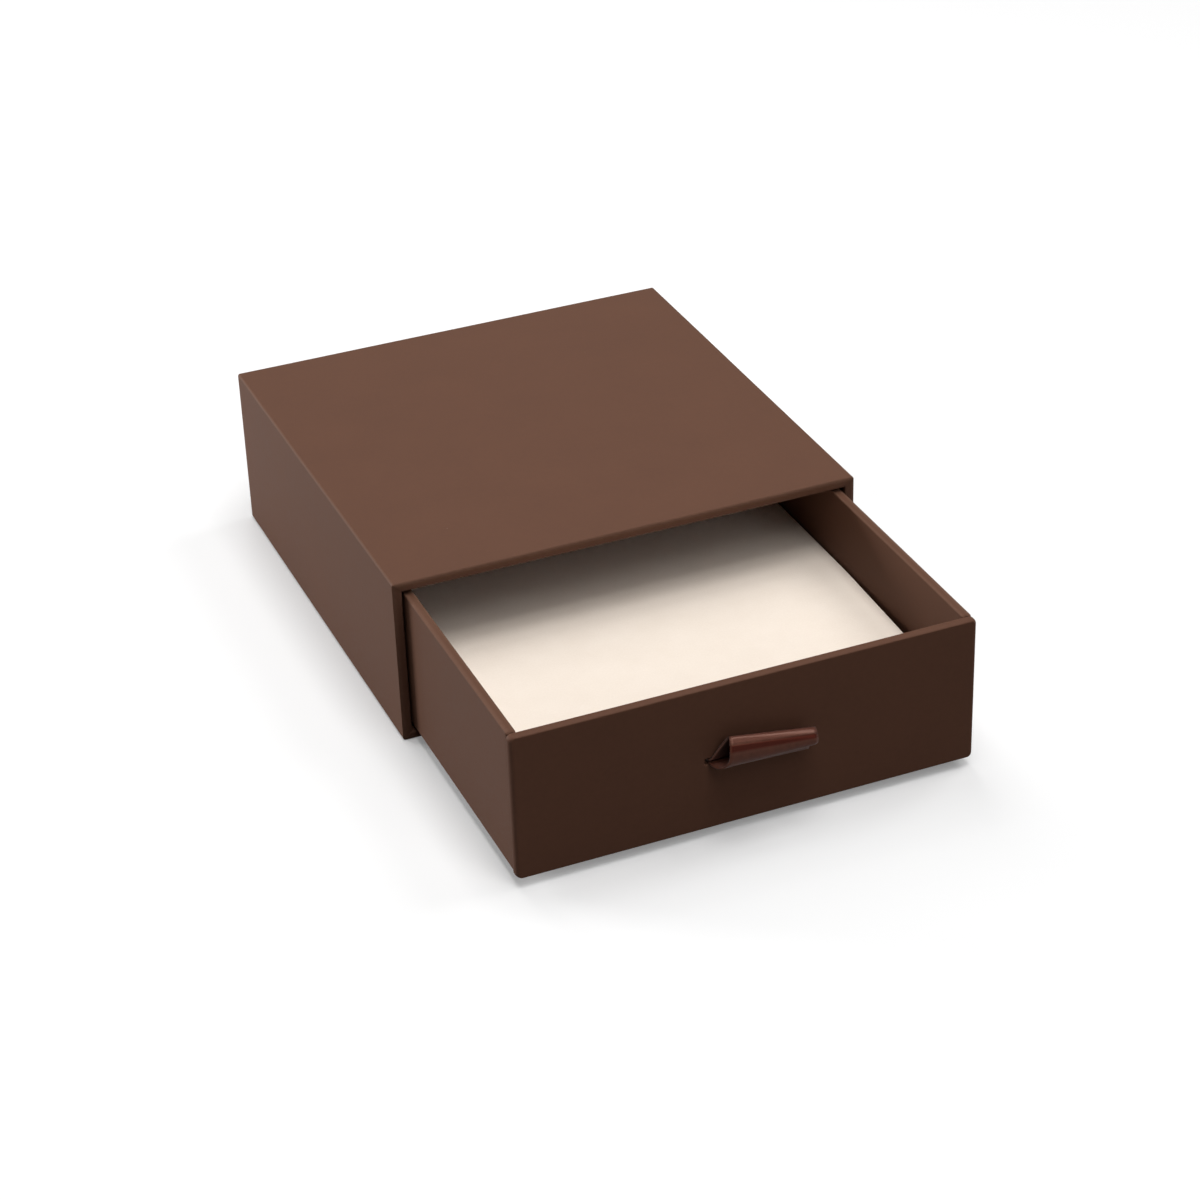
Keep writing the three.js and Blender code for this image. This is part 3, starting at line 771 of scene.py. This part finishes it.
ribbon_inputs = {
    "Width": RIBBON_WIDTH,
    "Left Edge": RIBBON_LEFT,
    "Face": panel_low.y,
    "Slit Height": sum(SLIT_Z) / 2,
    "Reach": 4 * MM,
    "Lean": LEAN,
    "Strand": STRAND,
    "Left Share": 1.25,
    "Right Share": 0.62,
    "Right Droop": 0.9 * MM,
    "Right Hold": 0.5,
    "Steps Along": 321,
    "Steps Across": 25,
}
satin_tree = ribbon_tree(satin_paint())
ribbon_pull = made_by_nodes("ribbon_pull_satin", ribbon_course(), satin_tree, ribbon_inputs)
cut_length = thread_length(ribbon_pull, 0.5)
for name, scale in (("along", cut_length), ("across", RIBBON_WIDTH)):
    for value in ribbon_pull.data.attributes[name].data:
        value.value *= scale
weave_layer = ribbon_pull.modifiers.new("ribbon_thickness", "SOLIDIFY")
weave_layer.thickness = 0.22 * MM
weave_layer.offset = 0
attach(ribbon_pull, "drawer")
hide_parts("ribbon_pull")
repaint(["ribbon_tail_patch"], lining_paper)


# Insert
# A block of cream foam fills the bottom of the tray, cut a little off square at its right side.
# A sheet of ivory card with a fine flocked face is glued on top, and its edges are only cut.
TAPER = 1.25 * MM
TAPER_RUN = 41.25 * MM
insert_low, insert_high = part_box("insert_facing")
foam_low, foam_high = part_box("insert_foam")


def insert_loop(inset, z, bend, corner_round=0.35 * MM, least_round=0.12 * MM):
    """The insert's outline, drawn in at the right side where it was trimmed off square."""
    x_span = (insert_low.x + inset, insert_high.x - inset)
    y_span = (insert_low.y + inset, insert_high.y - inset)
    row = []
    for x, y, corner in rounded_loop(x_span, y_span, max(corner_round - inset, least_round)):
        toward_front = min(1.0, max(0.0, (insert_low.y + TAPER_RUN - y) / TAPER_RUN))
        share = (x - insert_low.x) / (insert_high.x - insert_low.x)
        row.append((x - TAPER * toward_front * share, y, z, max(bend, corner * (inset == 0))))
    return row


def facing_rows(edge_round=0.18 * MM, clear=0.02 * MM):
    """Loops from the middle of the face out to its edge and down to the foam."""
    top, bottom = insert_high.z, insert_low.z
    face_insets = [38, 30, 22, 14, 8, 4, 1.5, 0.5]
    rows = [insert_loop(inset * MM, top, 0.0) for inset in face_insets]
    for s, c, bend in quarter(4):
        inset, z = edge_round - edge_round * s, top - edge_round + edge_round * c
        rows.append(insert_loop(inset, z, bend))
    return rows + [insert_loop(0.0, bottom + clear, 0.0)]


def foam_rows(rim=0.35 * MM, shoulder=0.25 * MM, crown=0.3 * MM, foot=0.2 * MM):
    """Loops from the foam's soft top edge down its sides, which are drawn in a little half way."""
    top, bottom, steps = foam_high.z, foam_low.z, 6
    side, hollow = 0.1 * MM, 0.06 * MM
    rows = [insert_loop(0.4 * MM, top, 0.0)]
    for s, c, bend in quarter(3):
        rows.append(insert_loop(rim - shoulder * s, top - crown + crown * c, bend))
    for share in [step / steps for step in range(1, steps)]:
        inset = side + hollow * math.sin(math.pi * share)
        rows.append(insert_loop(inset, top + (bottom - top) * share, 0.0))
    return rows + [insert_loop(foot, bottom + 0.01 * MM, 0.0)]


def facing_paint():
    """Ivory flocked card: very fine nap, a faintly mottled tone, and paler cut edges."""
    material, shader, place = new_paint("ivory_flocked_card")
    dark_ivory, light_ivory = (0.86, 0.755, 0.65, 1), (0.92, 0.82, 0.72, 1)
    cut_edge = (0.92, 0.84, 0.75, 1)
    nap = place.noise(scale=3200.0, detail=3.0, rough=0.7)
    mottle = place.noise(scale=160.0, detail=4.0, rough=0.6)
    ivory = (nap * 0.6 + mottle * 0.4).between(0.3, 0.7).tint(dark_ivory, light_ivory)
    place.plug(shader.inputs["Base Color"], (place.marked("fold") * 0.35).tint(ivory, cut_edge))
    place.plug(shader.inputs["Roughness"], nap * 0.08 + 0.88)
    emboss(shader, nap, strength=0.3, depth=0.03 * MM)
    shader.inputs["Specular IOR Level"].default_value = 0.15
    shader.inputs["Sheen Weight"].default_value = 0.15
    return material


def foam_paint():
    """Cream foam: small dark pores in a clouded tone."""
    material, shader, place = new_paint("cream_foam")
    dark_cream, light_cream = (0.68, 0.58, 0.46, 1), (0.76, 0.66, 0.54, 1)
    pore_brown = (0.4, 0.32, 0.24, 1)
    cells = place.node("ShaderNodeTexVoronoi", {}, {"Vector": place, "Scale": 2600.0})
    pore = 1 - cells.between(0.1, 0.45)
    shade = place.noise(scale=120.0, detail=3.0, rough=0.6)
    cream = shade.between(0.3, 0.7).tint(dark_cream, light_cream)
    place.plug(shader.inputs["Base Color"], (pore * 0.5).tint(cream, pore_brown))
    place.plug(shader.inputs["Roughness"], shade * 0.06 + 0.9)
    emboss(shader, 1 - pore, strength=0.5, depth=0.06 * MM)
    return material


both_ends = {"thickness": 0, "caps": ("first", "last")}
insert_foam = skin("insert_foam_block", foam_rows(), foam_paint(), **both_ends)
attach(insert_foam, "drawer")
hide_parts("insert_foam")
insert_facing = skin("insert_facing_card", facing_rows(), facing_paint(), **both_ends)
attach(insert_facing, "drawer")
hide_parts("insert_facing")
